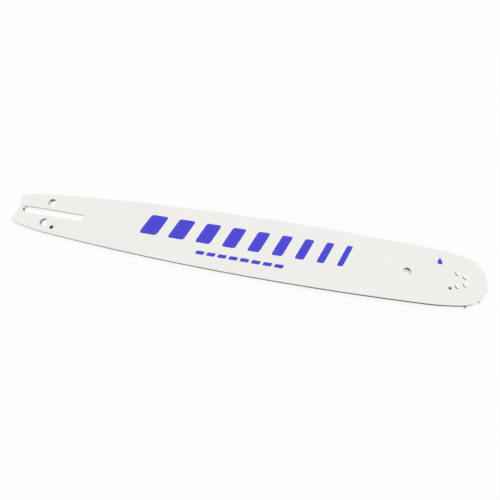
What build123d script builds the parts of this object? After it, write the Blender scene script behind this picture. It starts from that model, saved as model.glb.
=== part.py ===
from build123d import *
import os
from math import acos, degrees, pi, sin, sqrt

# A laminated chainsaw guide bar with a sprocket nose, lying on its lower face.
# The origin is the middle of the clamp slot on that face.
# +X runs from the tail to the nose and +Z is up through the thickness.

# Sheet thicknesses
SIDE_THICKNESS = 1.4
CORE_THICKNESS = 1.5
EDGE_BREAK = 0.2

# Clamp slot and the tail behind it
SLOT_LENGTH = 77.4
SLOT_WIDTH = 8.3
TAIL_WEB = 5.4
RECESS_DEPTH = 3.5
RECESS_HALF_WIDTH = 5.5
LOBE_RADIUS = 2.2

# Rails, from the tail to the nose
TAIL_SWEEP_RADIUS = 240.0
HEEL_X = -4.0
HEEL_HALF_WIDTH = 23.75
RAIL_BOW = 6.55
SHOULDER_RISE = 3.9
SHOULDER_SETBACK = 29.2
NOSE_AXIS_X = 436.1
GROOVE_DEPTH = 8.0

# Adjuster pin holes, oil holes and hanging hole
ADJUSTER_X = -6.35
ADJUSTER_RADIUS = 4.7
ADJUSTER_WEB = 3.65
OIL_HOLE_X = 5.45
OIL_HOLE_RADIUS = 2.1
OIL_HOLE_LAP = 0.5
OIL_POCKET_MARGIN = 0.6
HANG_HOLE_SETBACK = 48.35
HANG_HOLE_RADIUS = 4.0

# Nose rivets
RIVET_RADIUS = 1.8
RIVET_FLARE = 0.7
RIVET_DOME = 0.6
RIVET_FIT = 0.02
RIVET_CIRCLE = 6.8
RIVET_ANGLES = (33.7, 101.5, -33.7, -101.5)

# Nose bearing
HUB_RADIUS = 11.8
ROLLER_COUNT = 27
ROLLER_PLAY = 0.02
ROLLER_GAP = 0.08
GREASE_HOLE_RADIUS = 1.5
GREASE_HOLE_INSET = 0.6
GREASE_HOLE_ANGLE = -130.3

# Nose sprocket
TEETH = 11
TOOTH_DEPTH = 7.7
TOOTH_TIP_ROUND = 0.8
GULLET_RADIUS = 4.6
SPROCKET_RIM = 4.4
SPROCKET_PLAY = 0.1
SPROCKET_TIP_STAND = 1.95
SPROCKET_SWEEP_GAP = 1.0
SPROCKET_ANGLE = 21.6

# Full complement of rollers: neighbours stand one gap apart round the hub
roller_step = sin(pi / ROLLER_COUNT)
roller_seat = HUB_RADIUS + ROLLER_PLAY
roller_diameter = (2 * roller_seat * roller_step - ROLLER_GAP) / (1 - roller_step)
roller_circle = roller_seat + roller_diameter / 2
bore_radius = roller_seat + roller_diameter + ROLLER_PLAY

# The sprocket is built outwards from its bore, and the nose rail from the sprocket
root_radius = bore_radius + SPROCKET_RIM
tip_radius = root_radius + TOOTH_DEPTH
nose_radius = tip_radius - SPROCKET_TIP_STAND
sprocket_thickness = CORE_THICKNESS - 2 * SPROCKET_PLAY

# Heights and places along the bar
thickness = 2 * SIDE_THICKNESS + CORE_THICKNESS
recess_x = -SLOT_LENGTH / 2 - TAIL_WEB
tail_x = recess_x - RECESS_DEPTH
nose_axis = Vector(NOSE_AXIS_X, 0)
nose = Pos(NOSE_AXIS_X, 0)
lift = Pos(0, 0, thickness / 2)

# The upper rail is one long arc that bows out between the heel and the shoulder
heel_point = Vector(HEEL_X, HEEL_HALF_WIDTH)
shoulder_point = Vector(NOSE_AXIS_X - SHOULDER_SETBACK, nose_radius + SHOULDER_RISE)
rail_middle = (heel_point + shoulder_point) / 2 + Vector(0, RAIL_BOW)
rail = ThreePointArc(heel_point, rail_middle, shoulder_point)
rail_centre = rail.arc_center
rail_radius = rail.radius
heel_inward = (rail_centre - heel_point).normalized()
shoulder_inward = (rail_centre - shoulder_point).normalized()

# Behind the heel the rail sweeps in towards the tail
sweep_centre = heel_point + heel_inward * TAIL_SWEEP_RADIUS

# Past the shoulder it turns in on the arc that is tangent to the nose circle
shoulder_reach = shoulder_point - nose_axis
shoulder_room = -shoulder_reach.dot(shoulder_inward) - nose_radius
shoulder_radius = (shoulder_reach.dot(shoulder_reach) - nose_radius**2) / (2 * shoulder_room)
shoulder_centre = shoulder_point + shoulder_inward * shoulder_radius
nose_outward = (nose_axis - shoulder_centre).normalized()


def arc_about(centre, start, end):
    """The short arc from start to end on the circle about centre."""
    middle = (start - centre) + (end - centre)
    return ThreePointArc(start, centre + middle.normalized() * (start - centre).length, end)


def flip(point):
    """The point's mirror image across the bar's centre line."""
    return Vector(point.X, -point.Y)


def both_sides(upper_edges):
    """Edges of the upper half together with their mirror images below the centre line."""
    return upper_edges + [mirror(edge, about=Plane.XZ) for edge in upper_edges]


def height_on(centre, radius, x):
    """Height at x of the upper side of a circle."""
    return centre.Y + sqrt(radius**2 - (x - centre.X) ** 2)


def nose_start(inset):
    """Where the shoulder runs into the nose circle, inset from the edge of the rail."""
    return nose_axis + nose_outward * (nose_radius - inset)


def rail_edges(start, inset):
    """The upper rail from a point on its tail sweep to the nose, inset from its edge."""
    heel = heel_point + heel_inward * inset
    shoulder = shoulder_point + shoulder_inward * inset
    return [
        arc_about(sweep_centre, start, heel),
        arc_about(rail_centre, heel, shoulder),
        arc_about(shoulder_centre, shoulder, nose_start(inset)),
    ]


def outline():
    """Side plate's outline: recessed tail, round lobes, bowed rails, shoulders and nose."""
    recess_corner = Vector(recess_x, RECESS_HALF_WIDTH)
    lobe_x = tail_x + LOBE_RADIUS
    lobe_y = height_on(sweep_centre, TAIL_SWEEP_RADIUS - LOBE_RADIUS, lobe_x)
    lobe_centre = Vector(lobe_x, lobe_y)
    to_corner = recess_corner - lobe_centre
    lobe_turn = degrees(acos(LOBE_RADIUS / to_corner.length))
    lobe_start = lobe_centre + to_corner.normalized().rotate(Axis.Z, -lobe_turn) * LOBE_RADIUS
    lobe_end = sweep_centre + (lobe_centre - sweep_centre).normalized() * TAIL_SWEEP_RADIUS
    upper = [
        Line(recess_corner, lobe_start),
        arc_about(lobe_centre, lobe_start, lobe_end),
        *rail_edges(lobe_end, 0),
    ]
    ends = [
        Line(recess_corner, flip(recess_corner)),
        arc_about(nose_axis, nose_start(0), flip(nose_start(0))),
    ]
    return make_face(both_sides(upper) + ends)


def groove_floor():
    """The area inside the chain groove, one groove depth in from both rails."""
    tail_y = height_on(sweep_centre, TAIL_SWEEP_RADIUS - GROOVE_DEPTH, tail_x)
    tail = Vector(tail_x, tail_y)
    tip = nose_start(GROOVE_DEPTH)
    ends = [Line(tail, flip(tail)), Line(tip, flip(tip))]
    return make_face(both_sides(rail_edges(tail, GROOVE_DEPTH)) + ends)


def through_cuts():
    """Openings shared by all three plates: clamp slot, adjuster holes and hanging hole."""
    adjuster_y = SLOT_WIDTH / 2 + ADJUSTER_WEB + ADJUSTER_RADIUS
    adjuster = Circle(ADJUSTER_RADIUS)
    return [
        SlotOverall(SLOT_LENGTH, SLOT_WIDTH),
        Pos(ADJUSTER_X, adjuster_y) * adjuster,
        Pos(ADJUSTER_X, -adjuster_y) * adjuster,
        Pos(NOSE_AXIS_X - HANG_HOLE_SETBACK, 0) * Circle(HANG_HOLE_RADIUS),
    ]


def oil_hole(radius):
    """The upper plate's oil hole on the near side, its middle lapping over the floor of the groove."""
    floor_y = height_on(rail_centre, rail_radius, OIL_HOLE_X) - GROOVE_DEPTH
    return Pos(OIL_HOLE_X, -floor_y - OIL_HOLE_LAP) * Circle(radius)


def grease_hole():
    """Hole through a side plate over the inner side of the ring of rollers."""
    middle = Pos(roller_circle - GREASE_HOLE_INSET, 0)
    return nose * Rot(Z=GREASE_HOLE_ANGLE) * middle * Circle(GREASE_HOLE_RADIUS)


def rivet(fit=0.0):
    """One rivet on the Z axis: flared at both faces, flush below and domed above."""
    half = thickness / 2
    shank = RIVET_RADIUS + fit
    mouth = shank + RIVET_FLARE
    crown = Vector(0, half + RIVET_DOME)
    rim = Vector(mouth, half)
    dome_centre = Vector(0, half - (mouth**2 - RIVET_DOME**2) / (2 * RIVET_DOME))
    profile = [
        Polyline(crown, (0, -half), (mouth, -half), (shank, RIVET_FLARE - half)),
        Polyline((shank, RIVET_FLARE - half), (shank, half - RIVET_FLARE), rim),
        arc_about(dome_centre, rim, crown),
    ]
    return revolve(Plane.XZ * make_face(profile), Axis.Z)


def at_rivets(piece):
    """Copies of a piece at the four rivets of the nose."""
    return [nose * Rot(Z=angle) * Pos(RIVET_CIRCLE, 0) * piece for angle in RIVET_ANGLES]


def side_plate():
    """The upper side plate about the bar's middle plane, its outer edges broken."""
    sheet = outline() - through_cuts() - oil_hole(OIL_HOLE_RADIUS) - grease_hole()
    plate = Pos(0, 0, CORE_THICKNESS / 2) * extrude(sheet, SIDE_THICKNESS)
    plate = chamfer(plate.faces().sort_by(Axis.Z)[-1].edges(), EDGE_BREAK)
    return plate - at_rivets(rivet(RIVET_FIT))


def core_plate():
    """The core: the groove's floor all round, cut away at the nose for the sprocket's sweep."""
    sweep = nose * Circle(tip_radius + SPROCKET_SWEEP_GAP)
    pocket = oil_hole(OIL_HOLE_RADIUS + OIL_POCKET_MARGIN)
    sheet = outline() & groove_floor()
    sheet = sheet - sweep - through_cuts() - pocket - mirror(pocket, about=Plane.XZ)
    return extrude(sheet, CORE_THICKNESS / 2, both=True)


def bearing_hub():
    """Fixed inner race between the side plates, pierced by the rivets."""
    return nose * Cylinder(HUB_RADIUS, CORE_THICKNESS) - at_rivets(rivet(RIVET_FIT))


def tooth_edges():
    """One tooth pointing along +X: two flanks tangent to its round tip and gullets."""
    pitch = 360 / TEETH
    tip_centre = Vector(tip_radius - TOOTH_TIP_ROUND, 0)
    gullet_centre = Vector(root_radius + GULLET_RADIUS, 0).rotate(Axis.Z, pitch / 2)
    across = gullet_centre - tip_centre
    lean = degrees(acos((TOOTH_TIP_ROUND + GULLET_RADIUS) / across.length))
    normal = across.normalized().rotate(Axis.Z, -lean)
    flank_top = tip_centre + normal * TOOTH_TIP_ROUND
    flank_foot = gullet_centre - normal * GULLET_RADIUS
    root = Vector(root_radius, 0).rotate(Axis.Z, pitch / 2)
    next_foot = flip(flank_foot).rotate(Axis.Z, pitch)
    return [
        Line(flip(flank_foot), flip(flank_top)),
        ThreePointArc(flip(flank_top), (tip_radius, 0), flank_top),
        Line(flank_top, flank_foot),
        ThreePointArc(flank_foot, root, next_foot),
    ]


def nose_sprocket():
    """Star sprocket between the side plates, open in the middle for the rollers."""
    edges = [
        Rot(Z=SPROCKET_ANGLE + tooth * 360 / TEETH) * edge
        for tooth in range(TEETH)
        for edge in tooth_edges()
    ]
    star = make_face(edges) - Circle(bore_radius)
    return nose * extrude(star, sprocket_thickness / 2, both=True)


def roller(index):
    """One bearing roller, standing on its end between the hub and the sprocket."""
    around = Rot(Z=index * 360 / ROLLER_COUNT)
    return nose * around * Pos(roller_circle, 0) * Cylinder(roller_diameter / 2, sprocket_thickness)


upper_plate = side_plate()
pieces = {
    "upper_side_plate": upper_plate,
    "lower_side_plate": Rot(X=180) * upper_plate,
    "core_plate": core_plate(),
    "bearing_hub": bearing_hub(),
    "nose_sprocket": nose_sprocket(),
    "nose_rivets": Compound([copy.solid() for copy in at_rivets(rivet())]),
}
for index in range(ROLLER_COUNT):
    pieces[f"roller_{index + 1:02d}"] = roller(index)

os.makedirs("parts", exist_ok=True)
for name, piece in pieces.items():
    export_step(lift * piece, f"parts/{name}.step")
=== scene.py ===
from functools import reduce
from math import cos, radians

import bpy
import numpy as np
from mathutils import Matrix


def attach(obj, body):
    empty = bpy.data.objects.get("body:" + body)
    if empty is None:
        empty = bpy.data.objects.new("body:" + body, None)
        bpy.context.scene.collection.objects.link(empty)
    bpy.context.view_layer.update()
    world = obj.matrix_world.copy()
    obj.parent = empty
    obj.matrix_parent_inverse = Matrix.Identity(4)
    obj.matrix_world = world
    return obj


# Looks of a sprocket-nosed chainsaw guide bar: white paint, bare steel edges and printed ink marks.
# Lengths are in metres in the frame of the solids: the middle of the clamp slot is the origin, and
# the nose is at +X.

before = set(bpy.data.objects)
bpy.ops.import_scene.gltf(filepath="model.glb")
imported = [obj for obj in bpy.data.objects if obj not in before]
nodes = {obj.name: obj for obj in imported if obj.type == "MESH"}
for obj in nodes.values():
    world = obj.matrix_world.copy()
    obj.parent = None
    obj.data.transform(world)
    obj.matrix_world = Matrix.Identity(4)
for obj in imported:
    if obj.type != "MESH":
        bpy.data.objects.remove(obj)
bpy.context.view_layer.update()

MM = 0.001

# Places on the bar that the finishes and the print refer to
BAR_THICKNESS = 4.3 * MM
MIDDLE_HEIGHT = BAR_THICKNESS / 2
NOSE_AXIS = (436.1 * MM, 0.0, MIDDLE_HEIGHT)
RIVET_CIRCLE = 6.8 * MM
RIVET_ANGLES = (33.7, 101.5, -33.7, -101.5)
RIVET_RIM = 2.5 * MM
SPROCKET_FACE = 0.64 * MM
SLOT_REACH = (39.6 * MM, 4.4 * MM)
HANG_HOLE = (387.75 * MM, 0.0)
RAIL_REACH = 19.5 * MM

# Hole walls with painted shade: a dark steel colour, partly bare steel, on the side of each hole where
# shade falls, and all round the small holes and a spot at the slot's tail end. Columns: middle in X
# and Y, reach, share of the reach along Y where the shade starts, and how much of it shows
SHADED_WALLS = (
    (-6.35 * MM, 12.5 * MM, 4.9 * MM, 0.3, 1.0),
    (-6.35 * MM, -12.5 * MM, 4.9 * MM, -0.6, 0.6),
    (*HANG_HOLE, 4.2 * MM, 0.45, 1.0),
    (5.45 * MM, 16.95 * MM, 2.3 * MM, -2.0, 0.85),
    (5.45 * MM, -16.95 * MM, 2.3 * MM, -2.0, 0.85),
    (-38.9 * MM, -0.1 * MM, 1.2 * MM, -2.0, 0.8),
)
WALL_SHADE_FADE = 0.4

# Where the paint ends below the face, and where the wear, the darkening of the rail steel towards the
# nose and the painted shade on the near teeth of the sprocket start and end
PAINT_DEPTH = 0.10 * MM
BARE_DEPTH = 0.16 * MM
RAGGED_DEPTH = 0.12 * MM
WEAR_START = -10.0 * MM
WEAR_END = 200.0 * MM
WEAR_PATCHES = 100.0 * MM
DARKENING_START = 230.0 * MM
DARKENING_END = 420.0 * MM
TOOTH_SHADE_START = -15.0 * MM
TOOTH_SHADE_END = -25.0 * MM

# Camera
CAMERA_PLACE = (290.736 * MM, -144.174 * MM, 366.971 * MM)
CAMERA_TURN = (22.241, 4.664, 12.019)
CAMERA_LENS = 27.242
SENSOR_WIDTH = 36.0
NEAREST_SEEN = 10.0 * MM

# Light
KEY_TURN = (-32.0, 0.0, 0.0)
KEY_SPREAD = 45.0
KEY_STRENGTH = 1.82
ROOM_LIGHT = 0.52
TENT_GLOW = 0.98
TENT_OPENING = (-0.36, -0.31, 0.87)
OPENING_INNER = 5.0
OPENING_OUTER = 40.0

# Floor
FLOOR_GLOW = 0.88
FLOOR_HALF_SIDE = 4.0
FLOOR_LINES = 9
FLOOR_DROP = 0.05 * MM
PLAIN_INNER = 10.0 * MM
PLAIN_OUTER = 25.0 * MM
PLAIN_SHARE = 0.42

# Printed marks: a row of slanted bars that get narrower, a row of dashes, and the greasing drop
INK_BELOW = 0.02 * MM
INK_ABOVE = 0.035 * MM
OUTLINE_POINTS = 72
CORNER_POWER = 9.0
LEAN = 0.35
BAR_COUNT = 9
BAR_WIDEST = 20.0 * MM
BAR_NARROWEST = 6.0 * MM
BAR_GAP = 12.75 * MM
BAR_START = 111.0 * MM
BAR_LOW = -6.0 * MM
BAR_HIGH = 17.5 * MM
DASH_COUNT = 8
DASH_WIDTH = 9.0 * MM
DASH_PITCH = 12.0 * MM
DASH_START = 175.0 * MM
DASH_LOW = -19.0 * MM
DASH_HIGH = -15.0 * MM
DROP_TIP = (417.8 * MM, 20.4 * MM)
DROP_FOOT = (418.1 * MM, 13.2 * MM)
DROP_WIDTH = 4.8 * MM
DROP_POWER = 1.7

# Colours are linear red, green and blue
PAINT_LIGHT = (0.862, 0.853, 0.822, 1)
PAINT_WARM = (0.842, 0.832, 0.796, 1)
RAIL_LIGHT = (0.54, 0.54, 0.55, 1)
RAIL_DARK = (0.32, 0.32, 0.33, 1)
# Darker rail steel towards the nose
RAIL_NOSEWARD = (0.24, 0.235, 0.235, 1)
# Dark steel colour of the painted shade on hole walls
HOLE_SHADE = (0.14, 0.137, 0.134, 1)
CORE_LIGHT = (0.20, 0.195, 0.19, 1)
CORE_DARK = (0.07, 0.068, 0.066, 1)
SPROCKET_LIGHT = (0.94, 0.94, 0.935, 1)
SPROCKET_DARK = (0.84, 0.84, 0.835, 1)
TOOTH_FLANK = (0.30, 0.29, 0.28, 1)
# Painted shade on the near teeth of the sprocket
TOOTH_SHADE = (0.32, 0.31, 0.30, 1)
BEARING_LIGHT = (0.40, 0.40, 0.40, 1)
BEARING_DARK = (0.14, 0.13, 0.115, 1)
RIVET_LIGHT = (0.98, 0.98, 0.975, 1)
RIVET_DARK = (0.90, 0.90, 0.90, 1)
# Painted shadow: colour of the dark arc in each rivet's seam, and the lower-left side it lies on
RIVET_SHADOW = (0.12, 0.118, 0.115, 1)
SHADOW_SIDE = (-0.70, -0.71, 0.0)
INK_FULL = (0.048, 0.043, 0.60, 1)
INK_THIN = (0.070, 0.064, 0.64, 1)
FLOOR_PALE = (0.92, 0.92, 0.92, 1)
FLOOR_SOFT = (0.90, 0.90, 0.90, 1)
FLOOR_VEIL = (0.10, 0.10, 0.10, 1)
OPENING_GREY = (0.60, 0.60, 0.60, 1)
WHITE = (1, 1, 1, 1)


# Steps that the finishes are made of

def put(tree, kind, settings, sockets):
    """Adds a node, applies its settings, and fills or links its input sockets by name or number."""
    node = tree.nodes.new(kind)
    for name, value in settings.items():
        setattr(node, name, value)
    for name, value in sockets.items():
        if isinstance(value, bpy.types.NodeSocket):
            tree.links.new(value, node.inputs[name])
        else:
            node.inputs[name].default_value = value
    return node


def places(tree, scale=(1, 1, 1), centre=(0, 0, 0)):
    """Object coordinates counted from a centre and stretched by a scale on each axis."""
    start = tuple(-c * s for c, s in zip(centre, scale))
    source = put(tree, "ShaderNodeTexCoord", {}, {}).outputs["Object"]
    sockets = {"Vector": source, "Location": start, "Scale": scale}
    return put(tree, "ShaderNodeMapping", {}, sockets).outputs["Vector"]


def parts_of(tree, vector):
    """The X, Y and Z outputs of a vector."""
    return put(tree, "ShaderNodeSeparateXYZ", {}, {"Vector": vector}).outputs


def grain(tree, vector, scale, detail=4.0, roughness=0.55):
    """Noise from 0 to 1 at the given number of cells per unit of the vector."""
    sockets = {"Vector": vector, "Scale": scale, "Detail": detail, "Roughness": roughness}
    return put(tree, "ShaderNodeTexNoise", {}, sockets).outputs["Fac"]


def turned_rings(tree, reach, scale):
    """Noise from 0 to 1 along the distance from an axis, as a lathe leaves rings."""
    sockets = {"W": reach, "Scale": scale}
    return put(tree, "ShaderNodeTexNoise", {"noise_dimensions": "1D"}, sockets).outputs["Fac"]


def rise(tree, value, low, high, start=0.0, end=1.0):
    """Goes smoothly from start to end while the value goes from low to high."""
    sockets = {"Value": value, "From Min": low, "From Max": high, "To Min": start, "To Max": end}
    smooth = {"interpolation_type": "SMOOTHSTEP"}
    return put(tree, "ShaderNodeMapRange", smooth, sockets).outputs["Result"]


def work_out(tree, operation, first, second=0.0, third=0.0):
    """One sum on two or three numbers."""
    sockets = {0: first, 1: second, 2: third}
    return put(tree, "ShaderNodeMath", {"operation": operation}, sockets).outputs[0]


def any_of(tree, masks):
    """The largest of several masks."""
    return reduce(lambda first, second: work_out(tree, "MAXIMUM", first, second), masks)


def blend(tree, share, first, second):
    """Colour that goes from the first to the second as the share goes from 0 to 1."""
    node = put(tree, "ShaderNodeMix", {"data_type": "RGBA"}, {"Factor": share})
    for socket, value in ((node.inputs[6], first), (node.inputs[7], second)):
        if isinstance(value, bpy.types.NodeSocket):
            tree.links.new(value, socket)
        else:
            socket.default_value = value
    return node.outputs[2]


def between(tree, share, first, second):
    """Number that goes from the first to the second as the share goes from 0 to 1."""
    sockets = {"Factor": share, 2: first, 3: second}
    return put(tree, "ShaderNodeMix", {"data_type": "FLOAT"}, sockets).outputs[0]


def relief(tree, height, strength, depth):
    """Surface normal of a height pattern of the given depth."""
    sockets = {"Height": height, "Strength": strength, "Distance": depth}
    return put(tree, "ShaderNodeBump", {}, sockets).outputs["Normal"]


def from_axis(tree, vector):
    """Distance from the Z axis of the vector's own coordinates."""
    flat = put(tree, "ShaderNodeVectorMath", {"operation": "MULTIPLY"}, {0: vector, 1: (1, 1, 0)})
    length = put(tree, "ShaderNodeVectorMath", {"operation": "LENGTH"}, {0: flat.outputs[0]})
    return length.outputs["Value"]


def along(tree, vector, direction):
    """How far a vector reaches in a direction."""
    sockets = {0: vector, 1: direction}
    return put(tree, "ShaderNodeVectorMath", {"operation": "DOT_PRODUCT"}, sockets).outputs["Value"]


def seen_directly(tree):
    """1 for what the camera sees, straight on, mirrored or through glass, and 0 for light on a surface."""
    path = put(tree, "ShaderNodeLightPath", {}, {}).outputs
    return any_of(tree, [path["Is Camera Ray"], path["Is Glossy Ray"], path["Is Transmission Ray"]])


def finish_named(name):
    """A new material with no nodes yet, and its node tree."""
    material = bpy.data.materials.new(name)
    material.use_nodes = True
    material.node_tree.nodes.clear()
    return material, material.node_tree


def surface(tree, sockets):
    """Ends the tree in one principled shader with these sockets."""
    shader = put(tree, "ShaderNodeBsdfPrincipled", {}, sockets)
    put(tree, "ShaderNodeOutputMaterial", {}, {"Surface": shader.outputs[0]})


# Finishes of the bar

def shaded_walls(tree):
    """Two masks for each shaded wall: 1 within its reach, and the share of painted shade in dark steel colour
    there.
    """
    masks = []
    for x, y, reach, first, share in SHADED_WALLS:
        about_wall = places(tree, centre=(x, y, 0.0))
        inside = work_out(tree, "LESS_THAN", from_axis(tree, about_wall), reach)
        ahead = parts_of(tree, about_wall)["Y"]
        shade_share = rise(tree, ahead, first * reach, (first + WALL_SHADE_FADE) * reach, 0.0, share)
        masks.append((inside, work_out(tree, "MULTIPLY", inside, shade_share)))
    return masks


def in_slot(tree, here):
    """1 on the wall of the clamp slot and 0 elsewhere."""
    flat = put(tree, "ShaderNodeVectorMath", {"operation": "ABSOLUTE"}, {0: here})
    size = parts_of(tree, flat.outputs[0])
    within_length = work_out(tree, "LESS_THAN", size["X"], SLOT_REACH[0])
    within_width = work_out(tree, "LESS_THAN", size["Y"], SLOT_REACH[1])
    return work_out(tree, "MULTIPLY", within_length, within_width)


def painted_plate():
    """White paint on the outer face and in the slot, bare steel on the rails and the nose, and painted shade
    in a dark steel colour on hole walls.

    The steel colour shows where a point is deeper below the outer face than the broken edge, and lies on a
    shaded hole wall, further from the centre line than every hole, or beyond the nose axis. On the hole
    walls it is painted shade, partly bare steel. The paint wears off the rails in patches from the tail
    onwards, and the rail steel darkens towards the nose.
    """
    material, tree = finish_named("white_paint")
    here = places(tree)
    place = parts_of(tree, here)
    off_middle = work_out(tree, "ABSOLUTE", work_out(tree, "SUBTRACT", place["Z"], MIDDLE_HEIGHT))
    depth = work_out(tree, "SUBTRACT", MIDDLE_HEIGHT, off_middle)
    ragged = work_out(tree, "MULTIPLY_ADD", grain(tree, here, scale=900.0), RAGGED_DEPTH, depth)
    deep = rise(tree, ragged, PAINT_DEPTH, BARE_DEPTH)

    wide = work_out(tree, "GREATER_THAN", work_out(tree, "ABSOLUTE", place["Y"]), RAIL_REACH)
    past_nose = work_out(tree, "GREATER_THAN", place["X"], NOSE_AXIS[0] + RAIL_REACH / 2)
    patchy = work_out(tree, "MULTIPLY_ADD", grain(tree, here, scale=400.0), WEAR_PATCHES, place["X"])
    worn = rise(tree, patchy, WEAR_START, WEAR_END)
    rail = work_out(tree, "MULTIPLY", any_of(tree, [wide, past_nose]), worn)
    # Painted shade on the hole walls in a dark steel colour; the bare share below holds both the bare rail
    # steel and this painted shade
    wall_shade = any_of(tree, [steel for _, steel in shaded_walls(tree)])
    bare = work_out(tree, "MULTIPLY", deep, any_of(tree, [rail, wall_shade]))

    cloud = rise(tree, grain(tree, here, scale=14.0, detail=3.0), 0.35, 0.65)
    paint = blend(tree, cloud, PAINT_LIGHT, PAINT_WARM)
    lines = grain(tree, places(tree, (25, 900, 2600)), scale=1.0, detail=6.0, roughness=0.7)
    ground_steel = blend(tree, rise(tree, lines, 0.3, 0.7), RAIL_DARK, RAIL_LIGHT)
    towards_nose = rise(tree, place["X"], DARKENING_START, DARKENING_END)
    rail_steel = blend(tree, towards_nose, ground_steel, RAIL_NOSEWARD)
    # The steel colour is rail steel on the rails and the dark painted shade on the hole walls
    steel = blend(tree, wall_shade, rail_steel, HOLE_SHADE)

    peel = rise(tree, grain(tree, here, scale=700.0, detail=2.0), 0.3, 0.7)
    paint_sheen = rise(tree, peel, 0.0, 1.0, 0.46, 0.54)
    steel_sheen = rise(tree, lines, 0.2, 0.8, 0.26, 0.46)
    paint_height = work_out(tree, "MULTIPLY", peel, 0.35)
    surface(tree, {
        "Base Color": blend(tree, bare, paint, steel),
        "Metallic": bare,
        "Roughness": between(tree, bare, paint_sheen, steel_sheen),
        "Normal": relief(tree, between(tree, bare, paint_height, lines), 0.25, 0.02 * MM),
    })
    return material


def core_steel():
    """Dark rolled sheet with soft blotches of scale and a fine tooth, painted on its slot and hole walls
    except where the dark sheet stands as painted shade on them.
    """
    material, tree = finish_named("core_steel")
    here = places(tree)
    # Masks of the hole walls and of the painted shade on them: where the shade is painted, the dark sheet
    # shows instead of paint
    masks = shaded_walls(tree)
    covered = any_of(tree, [in_slot(tree, here)] + [inside for inside, _ in masks])
    painted = work_out(tree, "SUBTRACT", covered, any_of(tree, [steel for _, steel in masks]))
    scale = rise(tree, grain(tree, here, scale=120.0, detail=6.0, roughness=0.65), 0.35, 0.7)
    tooth = grain(tree, here, scale=2500.0, detail=2.0)
    sheet = blend(tree, scale, CORE_DARK, CORE_LIGHT)
    surface(tree, {
        "Base Color": blend(tree, painted, sheet, PAINT_WARM),
        "Metallic": rise(tree, painted, 0.0, 1.0, 0.85, 0.0),
        "Roughness": rise(tree, scale, 0.0, 1.0, 0.6, 0.42),
        "Normal": relief(tree, tooth, 0.3, 0.02 * MM),
    })
    return material


def sprocket_steel():
    """Ground star wheel: bright faces with fine rings, duller flanks, and painted shade on the teeth on the
    near side, towards -Y.
    """
    material, tree = finish_named("sprocket_steel")
    about_nose = places(tree, centre=NOSE_AXIS)
    place = parts_of(tree, about_nose)
    wander = work_out(tree, "MULTIPLY", grain(tree, about_nose, scale=300.0), 0.6 * MM)
    rings = turned_rings(tree, work_out(tree, "ADD", from_axis(tree, about_nose), wander), 5000.0)
    patches = rise(tree, grain(tree, about_nose, scale=160.0), 0.3, 0.7)
    tone = blend(tree, patches, SPROCKET_DARK, SPROCKET_LIGHT)
    off_middle = work_out(tree, "ABSOLUTE", place["Z"])
    face = rise(tree, off_middle, SPROCKET_FACE - 0.05 * MM, SPROCKET_FACE)
    # Painted shade: a darker colour on the teeth on the near side, towards -Y
    near_teeth_shade = rise(tree, place["Y"], TOOTH_SHADE_START, TOOTH_SHADE_END)
    unshaded = blend(tree, face, TOOTH_FLANK, tone)
    surface(tree, {
        "Base Color": blend(tree, near_teeth_shade, unshaded, TOOTH_SHADE),
        "Metallic": 0.6,
        "Roughness": rise(tree, rings, 0.3, 0.7, 0.34, 0.50),
        "Normal": relief(tree, rings, 0.2, 0.01 * MM),
    })
    return material


def bearing_steel():
    """Polished bearing race and rollers with faint turning rings and a film of grease."""
    material, tree = finish_named("bearing_steel")
    about_nose = places(tree, centre=NOSE_AXIS)
    rings = turned_rings(tree, from_axis(tree, about_nose), 9000.0)
    grease = rise(tree, grain(tree, about_nose, scale=420.0), 0.4, 0.65)
    surface(tree, {
        "Base Color": blend(tree, grease, BEARING_LIGHT, BEARING_DARK),
        "Metallic": 1.0,
        "Roughness": rise(tree, rings, 0.3, 0.7, 0.14, 0.26),
        "Normal": relief(tree, rings, 0.15, 0.006 * MM),
    })
    return material


def rivet_steel():
    """Bright spun rivet heads: rings about each rivet's own axis, and a painted shadow as a dark arc in the
    lower-left side of each seam.
    """
    material, tree = finish_named("rivet_steel")
    nearest = 1.0
    shadow_arcs = []
    for angle in np.radians(RIVET_ANGLES):
        offset = (RIVET_CIRCLE * np.cos(angle), RIVET_CIRCLE * np.sin(angle), 0.0)
        axis = tuple(float(a + b) for a, b in zip(NOSE_AXIS, offset))
        about_rivet = places(tree, centre=axis)
        reach = from_axis(tree, about_rivet)
        nearest = work_out(tree, "MINIMUM", nearest, reach)
        own = work_out(tree, "LESS_THAN", reach, 1.1 * RIVET_RIM)
        # A dark arc of painted shadow on the lower-left side of each rivet's seam
        side = along(tree, about_rivet, SHADOW_SIDE)
        shadow_arc = rise(tree, side, 0.1 * RIVET_RIM, 0.6 * RIVET_RIM)
        shadow_arcs.append(work_out(tree, "MULTIPLY", own, shadow_arc))
    rings = turned_rings(tree, nearest, 7000.0)
    tone = blend(tree, rise(tree, rings, 0.3, 0.7), RIVET_DARK, RIVET_LIGHT)
    rim = rise(tree, nearest, 0.72 * RIVET_RIM, 0.82 * RIVET_RIM)
    seam_shadow = work_out(tree, "MULTIPLY", any_of(tree, shadow_arcs), rim)
    surface(tree, {
        "Base Color": blend(tree, seam_shadow, tone, RIVET_SHADOW),
        "Metallic": 1.0,
        "Roughness": rise(tree, rings, 0.3, 0.7, 0.12, 0.20),
        "Normal": relief(tree, rings, 0.1, 0.005 * MM),
    })
    return material


def printed_ink():
    """Blue-violet screen ink: a little thinner in places, with a fine mesh grain."""
    material, tree = finish_named("printed_ink")
    here = places(tree)
    thin = rise(tree, grain(tree, here, scale=260.0, detail=5.0), 0.45, 0.75)
    mesh = grain(tree, here, scale=2600.0, detail=1.0)
    surface(tree, {
        "Base Color": blend(tree, thin, INK_FULL, INK_THIN),
        "Roughness": rise(tree, mesh, 0.3, 0.7, 0.42, 0.55),
        "Normal": relief(tree, mesh, 0.2, 0.01 * MM),
    })
    return material


def dress(nodes, material):
    """Gives CAD nodes their finish in place of the plain one they came with."""
    for node in nodes:
        node.data.materials.clear()
        node.data.materials.append(material)


# Print on the upper face

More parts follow.
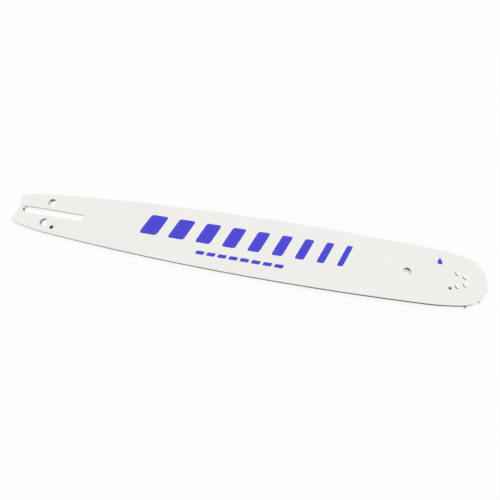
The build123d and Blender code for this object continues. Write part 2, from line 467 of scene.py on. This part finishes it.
def marks_piece(name, outlines):
    """Thin films of ink, one for each closed outline of an array of shape marks by points by two.

    A film is its outline drawn in towards its own middle: the point at share s of the way out, at the
    height h, is middle + s * (outline point - middle) at the bar's face + h. The pairs s, h run from the
    middle of the underside out to the rim and back over the top to the middle.
    """
    share = np.array([0.5, 1.0, 1.0, 0.985, 0.9, 0.5])
    rim_height = np.array([0.6, 0.92, 1.0, 1.0]) * INK_ABOVE
    height = np.concatenate([[-INK_BELOW, -INK_BELOW], rim_height])
    count, points, _ = outlines.shape
    rings = len(share)
    middle = outlines.mean(axis=1)
    spread = outlines - middle[:, None, :]
    flat = middle[:, None, None, :] + share[None, :, None, None] * spread[:, None, :, :]
    level = np.broadcast_to(BAR_THICKNESS + height[None, :, None, None], flat.shape[:3] + (1,))
    body = np.concatenate([flat, level], axis=3).reshape(count, rings * points, 3)
    underside = np.concatenate([middle, np.full((count, 1), BAR_THICKNESS - INK_BELOW)], axis=1)
    top = np.concatenate([middle, np.full((count, 1), BAR_THICKNESS + INK_ABOVE)], axis=1)
    vertices = np.concatenate([body, underside[:, None, :], top[:, None, :]], axis=1)

    ring = np.arange(points)
    following = np.roll(ring, -1)
    inner = np.arange(rings - 1)[:, None] * points
    outer = inner + points
    walls = np.stack([inner + ring, inner + following, outer + following, outer + ring], axis=2)
    last = (rings - 1) * points
    low = rings * points
    high = low + 1
    bottom_fan = np.stack([following, ring, np.full(points, low)], axis=1)
    top_fan = np.stack([last + ring, last + following, np.full(points, high)], axis=1)
    shift = (np.arange(count) * (rings * points + 2))[:, None, None]
    quads = (walls.reshape(1, -1, 4) + shift).reshape(-1, 4)
    fans = (np.concatenate([bottom_fan, top_fan])[None] + shift).reshape(-1, 3)

    mesh = bpy.data.meshes.new(name)
    mesh.from_pydata(vertices.reshape(-1, 3).tolist(), [], quads.tolist() + fans.tolist())
    mesh.polygons.foreach_set("use_smooth", np.ones(len(mesh.polygons), dtype=bool))
    mesh.update()
    piece = bpy.data.objects.new(name, mesh)
    bpy.context.scene.collection.objects.link(piece)
    return piece


def slanted_bars(left, width, low, high):
    """Outlines of slanted bars with slightly round corners, one for each left end and width.

    In each bar's own box the outline is the curve |x|^p + |y|^p = 1 for a corner power p, taken at even
    angles, and the bar leans by LEAN lengths along X for each length up Y.
    """
    turn = np.linspace(0.0, 2.0 * np.pi, OUTLINE_POINTS, endpoint=False) + np.pi / OUTLINE_POINTS
    across, up = np.cos(turn), np.sin(turn)
    reach = (np.abs(across) ** CORNER_POWER + np.abs(up) ** CORNER_POWER) ** (-1.0 / CORNER_POWER)
    half_height = (high - low) / 2
    rise_y = half_height * reach * up
    run_x = (width / 2)[:, None] * (reach * across)[None, :] + LEAN * rise_y[None, :]
    x = (left + width / 2)[:, None] + run_x
    y = np.broadcast_to((low + high) / 2 + rise_y, x.shape)
    return np.stack([x, y], axis=2)


def drop_outline(tip, foot, width):
    """Outline of a drop: at the turn t from its tip it is as wide as sin t times a power of sin(t / 2)."""
    turn = np.linspace(0.0, 2.0 * np.pi, OUTLINE_POINTS, endpoint=False)
    swell = np.sin(turn) * np.abs(np.sin(turn / 2)) ** DROP_POWER
    tip, foot = np.array(tip), np.array(foot)
    half_length = (foot - tip) / 2
    side = np.array([half_length[1], -half_length[0]]) / np.hypot(*half_length)
    line = tip + half_length * (1 - np.cos(turn))[:, None]
    return (line + side * (swell / swell.max() * width / 2)[:, None])[None]


def print_marks():
    """The print on the upper face: a row of slanted bars, a row of dashes below it, and the greasing drop."""
    ink = printed_ink()
    bar_width = np.linspace(BAR_WIDEST, BAR_NARROWEST, BAR_COUNT)
    bar_left = BAR_START + np.concatenate([[0.0], np.cumsum(bar_width + BAR_GAP)[:-1]])
    dash_width = np.full(DASH_COUNT, DASH_WIDTH)
    dash_left = DASH_START + np.arange(DASH_COUNT) * DASH_PITCH
    pieces = {
        "ink_bars": slanted_bars(bar_left, bar_width, BAR_LOW, BAR_HIGH),
        "ink_dashes": slanted_bars(dash_left, dash_width, DASH_LOW, DASH_HIGH),
        "ink_drop": drop_outline(DROP_TIP, DROP_FOOT, DROP_WIDTH),
    }
    for name, outlines in pieces.items():
        piece = marks_piece(name, outlines)
        piece.data.materials.append(ink)
        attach(piece, "bar")


# Studio

def floor_finish():
    """Pale floor: what is seen of it glows almost white under a veil that keeps the shadows.

    The glow fades to plain pale matt under the front of the bar, where the hanging hole shows the floor.
    """
    material, tree = finish_named("pale_floor")
    tone = blend(tree, grain(tree, places(tree), scale=6.0), FLOOR_PALE, FLOOR_SOFT)
    matt = put(tree, "ShaderNodeBsdfDiffuse", {}, {"Color": tone}).outputs[0]
    veil = put(tree, "ShaderNodeBsdfDiffuse", {}, {"Color": FLOOR_VEIL}).outputs[0]
    glow = put(tree, "ShaderNodeEmission", {}, {"Color": WHITE, "Strength": FLOOR_GLOW}).outputs[0]
    glowing = put(tree, "ShaderNodeAddShader", {}, {0: veil, 1: glow}).outputs[0]
    away = from_axis(tree, places(tree, centre=(*HANG_HOLE, 0.0)))
    shaded = rise(tree, away, PLAIN_INNER, PLAIN_OUTER, PLAIN_SHARE, 0.0)
    seen = put(tree, "ShaderNodeMixShader", {}, {0: shaded, 1: glowing, 2: matt}).outputs[0]
    floor = put(tree, "ShaderNodeMixShader", {}, {0: seen_directly(tree), 1: matt, 2: seen}).outputs[0]
    put(tree, "ShaderNodeOutputMaterial", {}, {"Surface": floor})
    return material


def flat_floor():
    """The floor: a flat grid of two parameters, a hair below the bar's lower face."""
    line = np.linspace(-FLOOR_HALF_SIDE, FLOOR_HALF_SIDE, FLOOR_LINES)
    x, y = np.meshgrid(line, line)
    vertices = np.stack([x, y, np.full_like(x, -FLOOR_DROP)], axis=2).reshape(-1, 3)
    number = np.arange(FLOOR_LINES**2).reshape(FLOOR_LINES, FLOOR_LINES)
    corners = [number[:-1, :-1], number[:-1, 1:], number[1:, 1:], number[1:, :-1]]
    faces = np.stack(corners, axis=2).reshape(-1, 4)
    mesh = bpy.data.meshes.new("floor")
    mesh.from_pydata(vertices.tolist(), [], faces.tolist())
    mesh.materials.append(floor_finish())
    floor = bpy.data.objects.new("floor", mesh)
    bpy.context.scene.collection.objects.link(floor)


def white_tent():
    """Even room light on surfaces, and for the eye and reflections a white tent with a dim opening."""
    world = bpy.data.worlds.new("studio")
    bpy.context.scene.world = world
    world.use_nodes = True
    tree = world.node_tree
    tree.nodes.clear()
    direction = put(tree, "ShaderNodeTexCoord", {}, {}).outputs["Generated"]
    facing = along(tree, direction, TENT_OPENING)
    inside = rise(tree, facing, cos(radians(OPENING_OUTER)), cos(radians(OPENING_INNER)))
    cloth = blend(tree, inside, WHITE, OPENING_GREY)
    tent = put(tree, "ShaderNodeBackground", {}, {"Color": cloth, "Strength": TENT_GLOW}).outputs[0]
    room = put(tree, "ShaderNodeBackground", {}, {"Color": WHITE, "Strength": ROOM_LIGHT}).outputs[0]
    both = put(tree, "ShaderNodeMixShader", {}, {0: seen_directly(tree), 1: room, 2: tent}).outputs[0]
    put(tree, "ShaderNodeOutputWorld", {}, {"Surface": both})


def key_lamp():
    """One broad lamp from above and behind, left out of mirror images so that the paint stays even."""
    lamp = bpy.data.lights.new("key", "SUN")
    lamp.energy = KEY_STRENGTH
    lamp.angle = radians(KEY_SPREAD)
    key = bpy.data.objects.new("key", lamp)
    key.rotation_euler = tuple(radians(a) for a in KEY_TURN)
    key.visible_glossy = False
    bpy.context.scene.collection.objects.link(key)


def photo_camera():
    """The camera above the near side of the bar, tilted along its length."""
    data = bpy.data.cameras.new("camera")
    data.lens = CAMERA_LENS
    data.sensor_width = SENSOR_WIDTH
    data.clip_start = NEAREST_SEEN
    camera = bpy.data.objects.new("camera", data)
    camera.location = CAMERA_PLACE
    camera.rotation_euler = tuple(radians(a) for a in CAMERA_TURN)
    bpy.context.scene.collection.objects.link(camera)
    bpy.context.scene.camera = camera


bpy.context.scene.view_settings.view_transform = "Standard"
photo_camera()
white_tent()
key_lamp()
flat_floor()

rollers = [node for name, node in nodes.items() if name.startswith("roller_")]
dress([nodes["upper_side_plate"], nodes["lower_side_plate"]], painted_plate())
dress([nodes["core_plate"]], core_steel())
dress([nodes["nose_sprocket"]], sprocket_steel())
dress([nodes["bearing_hub"], *rollers], bearing_steel())
dress([nodes["nose_rivets"]], rivet_steel())
print_marks()
